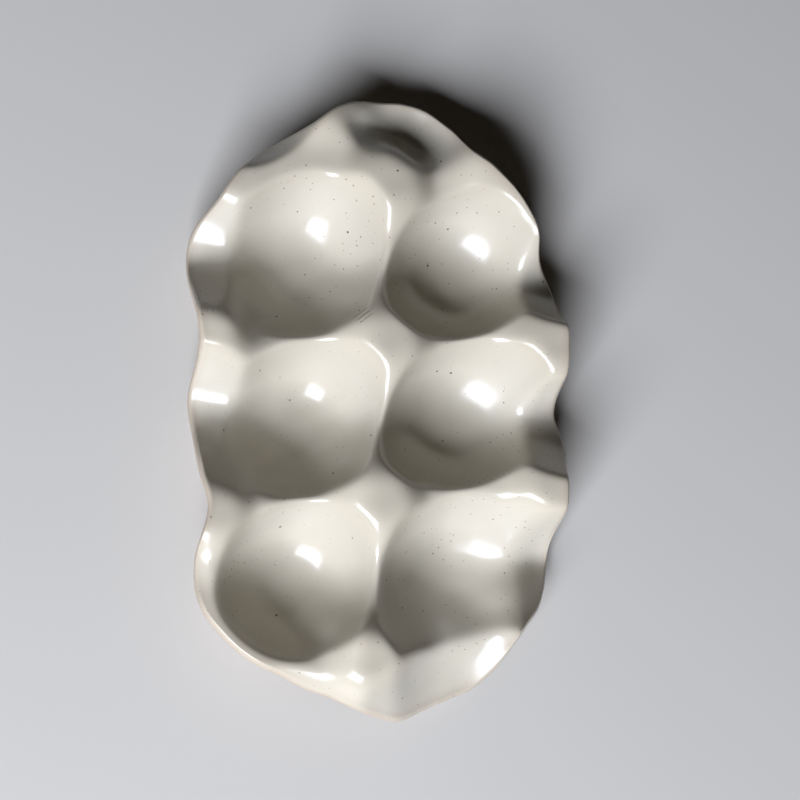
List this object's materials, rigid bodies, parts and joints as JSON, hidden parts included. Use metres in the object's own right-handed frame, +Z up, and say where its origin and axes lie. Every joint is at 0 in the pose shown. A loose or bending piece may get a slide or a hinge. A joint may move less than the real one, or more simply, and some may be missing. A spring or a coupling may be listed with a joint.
{
  "type": "egg tray",
  "caption": "Shallow hand-formed stoneware tray with rounded cups in two columns for eggs, soft ridges and flat peaks between them, a wavy rim and a glossy speckled glaze.",
  "frame": {"origin": "middle of the rim's box in plan, on the surface that the foot pads stand on", "axes": "+Z up out of the cups, +Y along the tray's length towards the end with the trench"},
  "size_m": [0.134, 0.2152, 0.0371],
  "materials": {
    "stoneware": "matte, unglazed, speckled",
    "glaze": "glossy cream white with dark specks",
    "foot_pad": "satin"
  },
  "bodies": {
    "root": {"tray_body": "stoneware", "glaze_coat": "glaze", "pad_back_left": "foot_pad", "pad_back_right": "foot_pad", "pad_middle_left": "foot_pad", "pad_middle_right": "foot_pad", "pad_front_left": "foot_pad", "pad_front_right": "foot_pad"}
  },
  "joints": []
}
